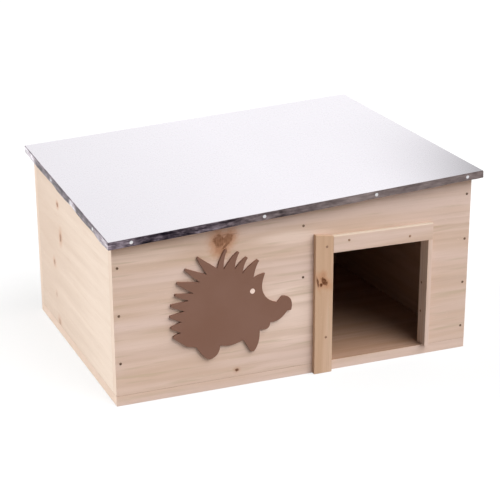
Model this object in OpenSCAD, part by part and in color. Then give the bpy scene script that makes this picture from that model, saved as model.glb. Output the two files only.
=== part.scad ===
// Wooden hedgehog house with a metal-covered roof that hinges open at the back.
// Millimetres, +Z up. The origin is the centre of the footprint, on the ground.
// The front, with the entrance, faces -Y.

/* [House] */
// Outside width of the house, left to right
house_w = 450; // [410:1:560]
// Outside depth of the house, front to back
house_d = 340; // [280:1:440]
// Height of the walls above the ground at their lowest corner, front left
wall_h = 187; // [183:1:260]
// Rise of the roof from the left wall to the right wall
rise_right = 31; // [4:0.5:50]
// Rise of the roof from the front wall to the back wall
rise_back = 27.5; // [4:0.5:50]
// Thickness of the wall boards
board_t = 12; // [9:0.5:18]
// Thickness of the floor board that the walls stand on
floor_t = 12; // [9:0.5:18]

/* [Entrance] */
// Clear width of the entrance
door_w = 126; // [100:1:140]
// Clear height of the entrance above the floor board
door_h = 136; // [110:1:140]
// Distance from the entrance to the outside of the right wall
door_to_right = 60; // [45:1:80]
// Width of the post to the left of the entrance
post_w = 23; // [15:0.5:30]
// Height of the lintel over the entrance
lintel_h = 20.5; // [12:0.5:25]
// How much is planed off the lintel's upper front edge
lintel_ease = 1.2; // [0.5:0.1:3]
// Thickness of the post, lintel and jamb battens
trim_t = 6; // [4:0.5:9]
// How far the post's left edge stands above the lintel
post_over = 3.5; // [2:0.5:6]
// Slope of the post's sawn top down to its right edge, in degrees
post_slope = 8; // [0:1:12]

/* [Inside] */
// Thickness of the partition between lobby and sleeping chamber
partition_t = 12; // [9:0.5:16]
// Distance from the partition to the entrance post, left to right
partition_to_post = 7; // [2:0.5:20]
// Width of the passage at the back of the partition
passage_w = 120; // [90:1:150]
// Height of the passage above the floor board
passage_h = 125; // [100:1:140]

/* [Roof] */
// Thickness of the roof board
roof_board_t = 9; // [7:0.5:14]
// Thickness of the metal sheet over the roof board
sheet_t = 0.7; // [0.5:0.1:1.2]
// Height of the sheet's folded lip, top face included
lip_h = 9; // [6:0.5:9.5]
// Overhang of the roof past the side walls
overhang_side = 7.5; // [5:0.5:30]
// Overhang of the roof past the front and back walls
overhang_end = 11.5; // [10:0.5:30]
// Gap between the closed roof and the walls
lid_gap = 0.3; // [0.2:0.1:1]

/* [Hinges] */
// Length of each hinge along its pin
hinge_len = 50; // [40:1:70]
// Width of each leaf from the pin's axis
leaf_w = 20; // [16:0.5:28]
// Thickness of the leaves
leaf_t = 1.5; // [1:0.1:1.6]
// Outside diameter of the knuckles
knuckle_d = 6.5; // [6.4:0.1:8]
// Diameter of the hinge pins
pin_d = 3; // [2:0.1:3]
// Distance from the outside of each side wall to the middle of its hinge
hinge_inset = 90; // [60:1:130]
// Diameter of the hinge screws
screw_d = 3; // [2.5:0.1:3.5]
// Distance between the two screws of a leaf
screw_spread = 30; // [24:1:34]

/* [Plaque] */
// Width of the hedgehog plaque
plaque_w = 149; // [110:1:160]
// Thickness of the plaque
plaque_t = 3; // [2:0.5:6]
// Distance from the hedgehog's nose to the entrance post
plaque_to_post = 28; // [15:1:40]
// Height of the hedgehog's feet above the ground
plaque_z = 39.5; // [25:0.5:45]
// Diameter of the eye peg
eye_d = 6; // [4:0.5:8]
// Depth of the eye peg's hole in the front panel
eye_depth = 4; // [3:0.5:6]

/* [Nails] */
// Diameter of the nails in the walls and floor
nail_d = 1.8; // [1.4:0.1:2.4]
// Length of the nails in the walls and floor
nail_len = 32; // [26:1:36]
// Head diameter of the nails in the walls, floor and battens
nail_head_d = 3; // [2.6:0.1:4]
// Diameter of the roof sheet's nails
lip_nail_d = 1.6; // [1.2:0.1:2]
// Length of the roof sheet's nails under the head
lip_nail_len = 16; // [12:1:24]
// Head diameter of the roof sheet's nails
lip_nail_head_d = 4.2; // [3.2:0.1:5]

/* [Hidden] */
$fn = 48;

// Clearances and small sizes
nail_clear = 0.02;       // round a nail, peg or screw in its hole
pin_press = 0.02;        // round a pin in the wall leaf's knuckles
pin_run = 0.05;          // round a pin in the roof leaf's knuckle
knuckle_gap = 0.3;       // along the pin, between knuckles
knuckle_room = 0.4;      // round a knuckle, to the other leaf
mortise_gap = 0.5;       // round the roof leaf in the back panel's top edge
nail_head_t = 0.9;       // thickness of a wall nail's head
nail_proud = 0.3;        // height of a wall nail's head above the wood
floor_nail_sink = 0.2;   // depth of a floor nail's head in the floor board's underside
lip_nail_head_t = 1;     // height of a roof nail's domed head
pin_head_t = 0.8;        // thickness of a hinge pin's riveted ends
pin_head_over = 0.8;     // overhang of a riveted end round its pin
peg_proud = 0.2;         // height of the eye peg above the plaque
bite = 0.8;              // share of a board that a screw or short nail enters
cut = 1;                 // overshoot of a cutting solid
big = 2 * (house_w + house_d);

// Where the nails sit along each edge, as shares of its length
nail_share_left = [0.22, 0.54, 0.855];
nail_share_right = [0.083, 0.36, 0.63, 0.903];
nail_share_middle = [0.574, 0.899];
nail_share_back = [0.1, 0.37, 0.63, 0.9];
nail_share_bridge = [0.25, 0.75];
nail_share_floor = [0.2, 0.5, 0.8];
nail_share_post = [0.2625, 0.911];
nail_share_lintel = [0.15, 0.76];
nail_share_jamb = [0.31, 0.58];
post_nail_across = 0.63;
lintel_nail_up = [0.645, 0.395];
lip_share_front = [0.056, 0.39, 0.692, 0.953];
lip_share_side = [0.154, 0.403, 0.636, 0.967];

// Outer faces of the walls
left_x = -house_w / 2;
right_x = house_w / 2;
front_y = -house_d / 2;
back_y = house_d / 2;

// Slope of the roof, and the height of the wall tops at any place
slope_x = rise_right / house_w;
slope_y = rise_back / house_d;
function wall_top(x, y) = wall_h + slope_x * (x - left_x) + slope_y * (y - front_y);

// Roof frame: local X along the hinges, local Z square to the roof board, z = 0 on its underside
roof_ry = -atan(slope_x);
roof_rx = atan(slope_y * cos(roof_ry));
roof_t = roof_board_t + sheet_t;
roof_normal = [sin(roof_ry) * cos(roof_rx), -sin(roof_rx), cos(roof_ry) * cos(roof_rx)];
roof_x0 = -roof_normal[0] * roof_t / 2;
roof_y0 = -roof_normal[1] * roof_t / 2;
roof_z0 = wall_top(roof_x0, roof_y0) + lid_gap / roof_normal[2];
roof_w = (house_w + 2 * overhang_side) / cos(roof_ry);
roof_d = (house_d + 2 * overhang_end) / cos(roof_rx);
roof_board_w = roof_w - 2 * sheet_t;
roof_board_d = roof_d - 2 * sheet_t;
lip_mid_z = roof_t - lip_h / 2;

// Entrance and partition, from the left
door_right = right_x - door_to_right;
door_left = door_right - door_w;
door_top = floor_t + door_h;
post_left = door_left - post_w;
post_top = door_top + lintel_h + post_over;
trim_y = front_y - trim_t;
lintel_w = door_w + trim_t;
partition_x = post_left - partition_to_post - partition_t / 2;
partition_front = front_y + board_t;
partition_back = back_y - board_t;
passage_top = floor_t + passage_h;

// Hinges, in the roof frame
knuckle_r = knuckle_d / 2;
knuckle_l = (hinge_len - 2 * knuckle_gap) / 3;
outer_knuckle_x = knuckle_l + knuckle_gap;
hinge_x = (house_w / 2 - hinge_inset) / cos(roof_ry);
hinge_y = (back_y + knuckle_r * (1 - sin(roof_rx)) - roof_y0) / cos(roof_rx);
screw_from_pin = 0.65 * leaf_w;
screw_head_d = screw_d + 2 * leaf_t;
trim_nail_len = trim_t + board_t * bite;
wall_screw_len = board_t * bite;
roof_screw_len = roof_board_t * bite;

// Hedgehog outline, drawn about full size with its feet at y = 0
body_centre = [65, 55];
crown_bow = 3;           // how far the outer edge of a crown spine bulges
back_bow = 1.4;          // the same for a back spine
rump_bow = 0.5;          // the same for the lowest spine, whose outer edge is the rump
crown_hollow = 2.2;      // how far the inner edge of a crown spine curves in
back_hollow = -0.4;      // the same for a back spine, which bulges a little
spine_tip_w = 2.4;       // width of a spine's blunt tip
curve_steps = 6;
eye_at = [100, 75];
function around(p) = body_centre + p[1] * [cos(p[0]), sin(p[0])];
function curve(a, c, b) =
  [for (i = [1:curve_steps])
    let (t = i / curve_steps) (1 - t) * (1 - t) * a + 2 * t * (1 - t) * c + t * t * b];
function left_of(d) = [-d[1], d[0]] / norm(d);
// One spine, from the notch before it round its tip to the notch after it
function spine(before, tip, after, bow, hollow) =
  let (side = left_of(tip - (before + after) / 2), blunt = side * spine_tip_w / 2)
  concat(
    curve(before, (before + tip) / 2 + side * bow, tip + blunt),
    [tip - blunt],
    curve(tip - blunt, (tip + after) / 2 + side * hollow, after)
  );

// Spines up the back, then over the crown, and the notch after each one,
// as an angle and a distance about the body's centre
back_tips = [
  [199.4, 64.6], [189, 64], [177.2, 64.2], [165.6, 65], [154.2, 64.2], [143, 69], [129, 72], [114.2, 74.6]
];
back_notches = [
  [198.3, 54.6], [185, 50.6], [170.8, 47.2], [155, 45.6], [143, 45.2], [125.8, 48.6], [112.8, 51], [97.8, 53]
];
crown_tips = [[87.4, 73], [75, 71], [64.8, 67.4], [52.8, 70.2], [37.8, 64.2]];
crown_notches = [[89.5, 50], [74.1, 50], [61.4, 48.2], [43.3, 50]];
function back_tip(i) = around(back_tips[i]);
function back_notch(i) = around(back_notches[i]);
function crown_tip(i) = around(crown_tips[i]);
function crown_notch(i) = around(crown_notches[i]);
back_spines = len(back_tips);
crown_spines = len(crown_tips);

// Points of the face, feet and belly, clockwise; the curves between them carry their own pull points
rump = [19.5, 20];
brow = [112.5, 74];
snout = [131, 57];
nose_top = [137, 63.5];
nose_tip = [149.5, 50];
chin = [143.5, 45];
jaw = [122.3, 34];
paw = [109, 27];
front_foot = [101.6, 1.2];
front_heel = [97.8, 1.6];
front_knee = [88.4, 17.5];
belly = [60.5, 15];
hind_foot = [47, 0];
hind_heel = [31.5, 17];
last_tip = crown_tip(crown_spines - 1);
last_notch = crown_notch(crown_spines - 2);
hedgehog_outline = concat(
  [rump],
  spine(rump, back_tip(0), back_notch(0), rump_bow, back_hollow),
  [for (i = [1:back_spines - 1])
    each spine(back_notch(i - 1), back_tip(i), back_notch(i), back_bow, back_hollow)],
  spine(back_notch(back_spines - 1), crown_tip(0), crown_notch(0), crown_bow, crown_hollow),
  [for (i = [1:crown_spines - 2])
    each spine(crown_notch(i - 1), crown_tip(i), crown_notch(i), crown_bow, crown_hollow)],
  curve(last_notch, (last_notch + last_tip) / 2 + [-crown_bow, crown_bow] / 2, last_tip),
  curve(last_tip, [110.5, 82], brow),
  curve(brow, [116.3, 60.8], snout),
  [nose_top],
  curve(nose_top, [150, 64], nose_tip),
  [nose_tip + [-1, -4.8], chin],
  curve(chin, [134, 32], jaw),
  curve(jaw, [121.5, 23], paw),
  curve(paw, [109.4, 9], front_foot),
  [front_heel, front_knee],
  curve(front_knee, [73, 10.5], belly),
  curve(belly, [58.5, 1.5], hind_foot),
  curve(hind_foot, [40, 2], hind_heel)
);

// Scale of the outline on the front panel, and where its x = 0 comes
outline_xs = [for (p = hedgehog_outline) p[0]];
outline_left = min(outline_xs);
outline_scale = plaque_w / (max(outline_xs) - outline_left);
plaque_x = post_left - plaque_to_post - plaque_w - outline_scale * outline_left;

// Colours
pine = [0.85, 0.75, 0.66];
batten_pine = [0.8, 0.69, 0.56];
roof_pine = [0.78, 0.68, 0.55];
zinc = [0.84, 0.84, 0.87];
steel = [0.6, 0.6, 0.62];
brown = [0.5, 0.37, 0.31];
cream = [0.94, 0.86, 0.8];

// Places and cuts
module in_roof() {
  translate([roof_x0, roof_y0, roof_z0]) rotate([roof_rx, roof_ry, 0]) children();
}

module above_walls() {
  in_roof() translate([-big / 2, -big / 2, -lid_gap]) cube(big);
}

// Hinge frame: origin on the pin's axis, leaves of the roof level with the roof board
module at_hinge(side) {
  in_roof() translate([side * hinge_x, hinge_y, -knuckle_r]) children();
}

// The same place, upright against the back wall
module at_wall_hinge(side) {
  at_hinge(side) rotate([-roof_rx, 0, 0]) children();
}

// Nails point along +Z from the surface of the wood at z = 0
module nail(length, clear = 0, proud = nail_proud) {
  translate([0, 0, -proud]) cylinder(d = nail_head_d + 2 * clear, h = nail_head_t);
  shank(nail_d, length, clear);
}

// A round shank that ends in a point two diameters long
module shank(d, length, clear) {
  tip = 2 * d;
  cylinder(d = d + 2 * clear, h = length - tip);
  translate([0, 0, length - tip]) cylinder(d1 = d + 2 * clear, d2 = d / 3, h = tip);
}

module nail_hole(length) {
  nail(length, clear = nail_clear);
}

module lip_nail() {
  dome_r = (pow(lip_nail_head_t, 2) + pow(lip_nail_head_d / 2, 2)) / (2 * lip_nail_head_t);
  intersection() {
    translate([0, 0, -lip_nail_head_t]) cylinder(d = lip_nail_head_d, h = lip_nail_head_t);
    translate([0, 0, dome_r - lip_nail_head_t]) sphere(r = dome_r);
  }
  shank(lip_nail_d, lip_nail_len, 0);
}

module lip_nail_hole() {
  translate([0, 0, -cut]) shank(lip_nail_d, cut + lip_nail_len, nail_clear);
}

// Countersunk screw along +Z, head face at z = 0
module screw(length) {
  cylinder(d1 = screw_head_d, d2 = screw_d, h = leaf_t);
  shank(screw_d, leaf_t + length, 0);
}

// A hole for the same screw; its countersink runs on past the leaf's face at the same angle
module screw_hole(length) {
  translate([0, 0, -cut])
    cylinder(d1 = screw_head_d + 2 * (cut + nail_clear), d2 = screw_d + 2 * nail_clear, h = cut + leaf_t);
  shank(screw_d, leaf_t + length, nail_clear);
}

module driven_screw(length) {
  slot_w = screw_d / 5;
  slot_l = screw_head_d * 0.6;
  difference() {
    screw(length);
    for (turn = [0, 90]) rotate(turn)
      translate([-slot_l / 2, -slot_w / 2, -cut]) cube([slot_l, slot_w, cut + leaf_t / 2]);
  }
}

// Heights of the nails in an upright row, from the floor board to the wall top
function nail_heights(x, y, shares, bottom = floor_t) =
  [for (s = shares) bottom + s * (wall_top(x, y) - bottom)];

// Places of each group of nails
module place_front_nails() {
  rows = [
    [left_x + board_t / 2, nail_share_left],
    [partition_x, nail_share_middle],
    [right_x - board_t / 2, nail_share_right]
  ];
  for (row = rows, z = nail_heights(row[0], front_y, row[1]))
    translate([row[0], front_y, z]) rotate([-90, 0, 0]) children();
}

module place_back_nails() {
  for (x = [left_x + board_t / 2, right_x - board_t / 2], z = nail_heights(x, back_y, nail_share_back))
    translate([x, back_y, z]) rotate([90, 0, 0]) children();
  for (z = nail_heights(partition_x, back_y, nail_share_bridge, passage_top))
    translate([partition_x, back_y, z]) rotate([90, 0, 0]) children();
}

module place_floor_nails() {
  inner_d = house_d - 2 * board_t;
  front_mid_y = front_y + board_t / 2;
  back_mid_y = back_y - board_t / 2;
  translate([0, 0, floor_nail_sink]) {
    for (s = nail_share_floor) {
      for (x = [left_x + board_t / 2, right_x - board_t / 2])
        translate([x, front_y + board_t + s * inner_d, 0]) children();
      translate([left_x + s * house_w, back_mid_y, 0]) children();
      translate([left_x + s * (post_left - left_x), front_mid_y, 0]) children();
    }
    for (s = nail_share_bridge)
      translate([partition_x, partition_front + s * (inner_d - passage_w), 0]) children();
    translate([(door_right + trim_t + right_x) / 2, front_mid_y, 0]) children();
  }
}

module place_post_nails() {
  for (s = nail_share_post)
    translate([post_left + post_nail_across * post_w, trim_y, s * post_top]) rotate([-90, 0, 0]) children();
}

module place_lintel_nails() {
  for (i = [0:len(nail_share_lintel) - 1])
    translate([door_left + nail_share_lintel[i] * lintel_w, trim_y, door_top + lintel_nail_up[i] * lintel_h])
      rotate([-90, 0, 0]) children();
}

module place_jamb_nails() {
  for (s = nail_share_jamb)
    translate([door_right, front_y + board_t / 2, floor_t + s * door_h]) rotate([0, 90, 0]) children();
}

module place_lip_nails() {
  in_roof() translate([0, 0, lip_mid_z]) {
    for (s = lip_share_front) {
      translate([(s - 0.5) * roof_w, -roof_d / 2, 0]) rotate([-90, 0, 0]) children();
      translate([(0.5 - s) * roof_w, roof_d / 2, 0]) rotate([90, 0, 0]) children();
    }
    for (s = lip_share_side) {
      translate([-roof_w / 2, (s - 0.5) * roof_d, 0]) rotate([0, 90, 0]) children();
      translate([roof_w / 2, (0.5 - s) * roof_d, 0]) rotate([0, -90, 0]) children();
    }
  }
}

module place_wall_screws(side) {
  at_wall_hinge(side) for (s = [-1, 1])
    translate([s * screw_spread / 2, leaf_t - knuckle_r, -screw_from_pin]) rotate([90, 0, 0]) children();
}

module place_roof_screws(side) {
  at_hinge(side) for (s = [-1, 1])
    translate([s * screw_spread / 2, -screw_from_pin, knuckle_r - leaf_t]) children();
}

// Bottom and walls
module floor_board() {
  color(pine) difference() {
    translate([left_x, front_y, 0]) cube([house_w, house_d, floor_t]);
    place_floor_nails() translate([0, 0, -cut])
      cylinder(d = nail_head_d + 2 * nail_clear, h = cut + nail_head_t);
    place_floor_nails() nail_hole(nail_len);
  }
}

// A wall board that stands on the floor board and is cut off under the roof
module wall(x, y, w, d) {
  difference() {
    translate([x, y, floor_t]) cube([w, d, wall_h + rise_right + rise_back]);
    above_walls();
  }
}

module front_panel() {
  color(pine) difference() {
    wall(left_x, front_y, house_w, board_t);
    translate([door_left, front_y - cut, floor_t - cut]) cube([lintel_w, board_t + 2 * cut, door_h + cut]);
    place_front_nails() nail_hole(nail_len);
    place_floor_nails() nail_hole(nail_len);
    place_post_nails() nail_hole(trim_nail_len);
    place_lintel_nails() nail_hole(trim_nail_len);
    place_jamb_nails() nail_hole(nail_len);
    place_eye() cylinder(d = eye_d + 2 * nail_clear, h = plaque_t + eye_depth);
  }
}

module back_panel() {
  color(pine) difference() {
    wall(left_x, back_y - board_t, house_w, board_t);
    place_back_nails() nail_hole(nail_len);
    place_floor_nails() nail_hole(nail_len);
    for (side = [-1, 1]) {
      place_wall_screws(side) screw_hole(wall_screw_len);
      at_hinge(side)
        translate([-hinge_len / 2 - mortise_gap, -leaf_w - cut, knuckle_r - leaf_t - mortise_gap])
        cube([hinge_len + 2 * mortise_gap, leaf_w + 2 * cut, leaf_t + mortise_gap + cut]);
    }
  }
}

module side_wall(x) {
  color(pine) difference() {
    wall(x, front_y + board_t, board_t, house_d - 2 * board_t);
    place_front_nails() nail_hole(nail_len);
    place_back_nails() nail_hole(nail_len);
    place_floor_nails() nail_hole(nail_len);
  }
}

module left_side() {
  side_wall(left_x);
}

module right_side() {
  side_wall(right_x - board_t);
}

module partition_wall() {
  color(pine) difference() {
    wall(partition_x - partition_t / 2, partition_front, partition_t, partition_back - partition_front);
    translate([partition_x - partition_t / 2 - cut, partition_back - passage_w, floor_t - cut])
      cube([partition_t + 2 * cut, passage_w + cut, passage_h + cut]);
    place_front_nails() nail_hole(nail_len);
    place_back_nails() nail_hole(nail_len);
    place_floor_nails() nail_hole(nail_len);
  }
}

// Battens round the entrance
module door_post() {
  color(batten_pine) difference() {
    translate([post_left, front_y, 0]) rotate([90, 0, 0]) linear_extrude(trim_t)
      polygon([[0, 0], [post_w, 0], [post_w, post_top - post_w * tan(post_slope)], [0, post_top]]);
    place_post_nails() nail_hole(trim_nail_len);
  }
}

module door_lintel() {
  color(batten_pine) difference() {
    translate([door_left, trim_y, door_top]) cube([lintel_w, trim_t, lintel_h]);
    translate([door_left - cut, trim_y, door_top + lintel_h - lintel_ease]) rotate([45, 0, 0])
      cube([lintel_w + 2 * cut, 2 * lintel_ease, 2 * lintel_ease]);
    place_lintel_nails() nail_hole(trim_nail_len);
  }
}

module door_jamb() {
  color(batten_pine) difference() {
    translate([door_right, trim_y, floor_t]) cube([trim_t, trim_t + board_t, door_h]);
    place_jamb_nails() nail_hole(nail_len);
  }
}

// Nails
module front_nails() {
  color(steel) place_front_nails() nail(nail_len);
}

module back_nails() {
  color(steel) place_back_nails() nail(nail_len);
}

module floor_nails() {
  color(steel) place_floor_nails() nail(nail_len, proud = 0);
}

module trim_nails() {
  color(steel) {
    place_post_nails() nail(trim_nail_len);
    place_lintel_nails() nail(trim_nail_len);
    place_jamb_nails() nail(nail_len);
  }
}

// Plaque: the outline stands up in the XZ plane, against the front panel
module place_eye() {
  translate([plaque_x + outline_scale * eye_at[0], front_y - plaque_t, plaque_z + outline_scale * eye_at[1]])
    rotate([-90, 0, 0]) children();
}

module hedgehog_plaque() {
  color(brown) difference() {
    translate([plaque_x, front_y, plaque_z]) rotate([90, 0, 0])
      linear_extrude(plaque_t) scale(outline_scale) polygon(hedgehog_outline);
    place_eye() translate([0, 0, -cut]) cylinder(d = eye_d + 2 * nail_clear, h = plaque_t + 2 * cut);
  }
}

module eye_peg() {
  color(cream) place_eye() translate([0, 0, -peg_proud])
    cylinder(d = eye_d, h = peg_proud + plaque_t + eye_depth);
}

// Hinges
module along_pin(d, length) {
  rotate([0, 90, 0]) cylinder(d = d, h = length, center = true);
}

module outer_knuckles(d, length) {
  for (s = [-1, 1]) translate([s * outer_knuckle_x, 0, 0]) along_pin(d, length);
}

// A level plate over the pin's axis, with a notch for each of the other leaf's knuckles
module leaf_plate(notch_places) {
  notch_l = knuckle_l + 2 * knuckle_gap;
  notch_y = knuckle_r + knuckle_room;
  difference() {
    translate([-hinge_len / 2, -leaf_w, knuckle_r - leaf_t]) cube([hinge_len, leaf_w, leaf_t]);
    for (x = notch_places)
      translate([x - notch_l / 2, -notch_y, knuckle_r - leaf_t - cut])
        cube([notch_l, notch_y + cut, leaf_t + 2 * cut]);
  }
}

module hinge_wall_leaf(side) {
  color(steel) difference() {
    at_wall_hinge(side) difference() {
      union() {
        outer_knuckles(knuckle_d, knuckle_l);
        rotate([90, 0, 0]) leaf_plate([0]);
      }
      along_pin(pin_d + 2 * pin_press, hinge_len + 2 * cut);
    }
    place_wall_screws(side) screw_hole(wall_screw_len);
  }
}

module hinge_roof_leaf(side) {
  color(steel) difference() {
    at_hinge(side) difference() {
      union() {
        along_pin(knuckle_d, knuckle_l);
        leaf_plate([-outer_knuckle_x, outer_knuckle_x]);
      }
      along_pin(pin_d + 2 * pin_run, hinge_len + 2 * cut);
    }
    place_roof_screws(side) screw_hole(roof_screw_len);
  }
}

module hinge_pin(side) {
  color(steel) at_hinge(side) {
    along_pin(pin_d, hinge_len + pin_head_t);
    for (s = [-1, 1])
      translate([s * (hinge_len + pin_head_t) / 2, 0, 0]) along_pin(pin_d + 2 * pin_head_over, pin_head_t);
  }
}

module left_hinge_wall_leaf() {
  hinge_wall_leaf(-1);
}

module right_hinge_wall_leaf() {
  hinge_wall_leaf(1);
}

module left_hinge_roof_leaf() {
  hinge_roof_leaf(-1);
}

module right_hinge_roof_leaf() {
  hinge_roof_leaf(1);
}

module left_hinge_pin() {
  hinge_pin(-1);
}

module right_hinge_pin() {
  hinge_pin(1);
}

module wall_leaf_screws() {
  color(steel) for (side = [-1, 1]) place_wall_screws(side) driven_screw(wall_screw_len);
}

module roof_leaf_screws() {
  color(steel) for (side = [-1, 1]) place_roof_screws(side) driven_screw(roof_screw_len);
}

// Roof
module roof_board() {
  color(roof_pine) difference() {
    in_roof() translate([-roof_board_w / 2, -roof_board_d / 2, 0])
      cube([roof_board_w, roof_board_d, roof_board_t]);
    place_lip_nails() lip_nail_hole();
    for (side = [-1, 1]) place_roof_screws(side) screw_hole(roof_screw_len);
  }
}

// A shallow pan, folded down over the edges of the roof board
module roof_sheet() {
  color(zinc) difference() {
    in_roof() difference() {
      translate([-roof_w / 2, -roof_d / 2, roof_t - lip_h]) cube([roof_w, roof_d, lip_h]);
      translate([-roof_board_w / 2, -roof_board_d / 2, -cut])
        cube([roof_board_w, roof_board_d, roof_board_t + cut]);
    }
    place_lip_nails() lip_nail_hole();
  }
}

module lip_nails() {
  color(steel) place_lip_nails() lip_nail();
}

floor_board();
front_panel();
left_side();
right_side();
back_panel();
partition_wall();
door_post();
door_lintel();
door_jamb();
front_nails();
back_nails();
floor_nails();
trim_nails();
hedgehog_plaque();
eye_peg();
left_hinge_wall_leaf();
right_hinge_wall_leaf();
left_hinge_pin();
right_hinge_pin();
wall_leaf_screws();
left_hinge_roof_leaf();
right_hinge_roof_leaf();
roof_leaf_screws();
roof_board();
roof_sheet();
lip_nails();
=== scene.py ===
"""Looks of the hedgehog house: pine boards, zinc roof, painted plaque and steel fasteners.

Metres, +Z up, the front faces -Y. Sizes below are in millimetres and become metres through MM.
"""
import math
import random
from typing import NamedTuple

import bmesh
import bpy
from mathutils import Matrix, Vector

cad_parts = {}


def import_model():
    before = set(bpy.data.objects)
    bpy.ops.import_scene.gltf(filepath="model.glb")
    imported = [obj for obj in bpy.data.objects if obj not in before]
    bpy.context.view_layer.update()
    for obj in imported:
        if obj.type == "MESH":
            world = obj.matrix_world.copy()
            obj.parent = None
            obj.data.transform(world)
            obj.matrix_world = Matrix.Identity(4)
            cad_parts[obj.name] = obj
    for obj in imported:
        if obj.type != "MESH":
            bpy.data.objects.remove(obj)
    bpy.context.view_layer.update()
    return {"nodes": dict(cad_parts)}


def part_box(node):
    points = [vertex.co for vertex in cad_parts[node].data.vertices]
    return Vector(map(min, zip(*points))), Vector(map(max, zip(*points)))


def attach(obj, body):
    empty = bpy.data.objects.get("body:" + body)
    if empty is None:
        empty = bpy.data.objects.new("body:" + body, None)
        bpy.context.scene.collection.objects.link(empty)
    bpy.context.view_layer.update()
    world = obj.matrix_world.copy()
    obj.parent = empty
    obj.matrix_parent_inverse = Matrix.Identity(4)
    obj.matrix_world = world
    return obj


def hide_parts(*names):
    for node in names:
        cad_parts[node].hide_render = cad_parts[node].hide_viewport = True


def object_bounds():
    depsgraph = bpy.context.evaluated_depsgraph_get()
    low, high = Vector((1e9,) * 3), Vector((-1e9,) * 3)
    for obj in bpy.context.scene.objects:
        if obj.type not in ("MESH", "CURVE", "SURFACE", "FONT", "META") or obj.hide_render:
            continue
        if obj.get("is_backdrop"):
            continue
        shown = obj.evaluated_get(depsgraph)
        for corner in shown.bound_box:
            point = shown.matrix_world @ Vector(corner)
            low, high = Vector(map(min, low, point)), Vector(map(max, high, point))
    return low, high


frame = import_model()
nodes = frame["nodes"]
MM = 0.001

# Sizes of the part, as in its source
HOUSE_W = 450
HOUSE_D = 340
WALL_H = 187
RISE_RIGHT = 31
RISE_BACK = 27.5
FLOOR_T = 12
PASSAGE_W = 120
PASSAGE_TOP = 137
LINTEL_EASE = 1.2
POST_SLOPE = math.radians(8)
ROOF_BOARD_T = 9
SHEET_T = 0.7
LIP_H = 9
OVERHANG_SIDE = 7.5
OVERHANG_END = 11.5
LID_GAP = 0.3
LEAF_T = 1.5
MORTISE_GAP = 0.5
LIP_NAILS_FRONT = (0.056, 0.39, 0.692, 0.953)
LIP_NAILS_SIDE = (0.154, 0.403, 0.636, 0.967)

# Roof frame: local X along the hinges, local Z square to the roof board, z = 0 on its underside
SLOPE_X = RISE_RIGHT / HOUSE_W
SLOPE_Y = RISE_BACK / HOUSE_D
ROOF_RY = -math.atan(SLOPE_X)
ROOF_RX = math.atan(SLOPE_Y * math.cos(ROOF_RY))
ROOF_T = ROOF_BOARD_T + SHEET_T
ROOF_W = (HOUSE_W + 2 * OVERHANG_SIDE) / math.cos(ROOF_RY)
ROOF_D = (HOUSE_D + 2 * OVERHANG_END) / math.cos(ROOF_RX)
ROOF_TURN = Matrix.Rotation(ROOF_RY, 4, "Y") @ Matrix.Rotation(ROOF_RX, 4, "X")


def wall_top(x, y):
    """Height of the wall tops, under the closed roof."""
    return WALL_H + SLOPE_X * (x + HOUSE_W / 2) + SLOPE_Y * (y + HOUSE_D / 2)


def roof_matrix():
    """From the roof frame, in millimetres, to the part frame, in metres."""
    normal = ROOF_TURN.to_3x3() @ Vector((0, 0, 1))
    x = -normal.x * ROOF_T / 2
    y = -normal.y * ROOF_T / 2
    z = wall_top(x, y) + LID_GAP / normal.z
    return Matrix.Scale(MM, 4) @ Matrix.Translation((x, y, z)) @ ROOF_TURN


# Materials: sockets of a colour mix node
MIX_AMOUNT = 0
MIX_FIRST = 6
MIX_SECOND = 7
MIX_RESULT = 2


class Value:
    """A number that varies over a surface. Arithmetic on it adds nodes."""

    def __init__(self, look, socket):
        self.look = look
        self.socket = socket

    def __add__(self, other):
        return self.look.math("ADD", self, other)

    __radd__ = __add__

    def __sub__(self, other):
        return self.look.math("SUBTRACT", self, other)

    def __rsub__(self, other):
        return self.look.math("SUBTRACT", other, self)

    def __mul__(self, other):
        return self.look.math("MULTIPLY", self, other)

    __rmul__ = __mul__

    def __truediv__(self, other):
        return self.look.math("DIVIDE", self, other)

    def __pow__(self, other):
        return self.look.math("POWER", self, other)


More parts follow.
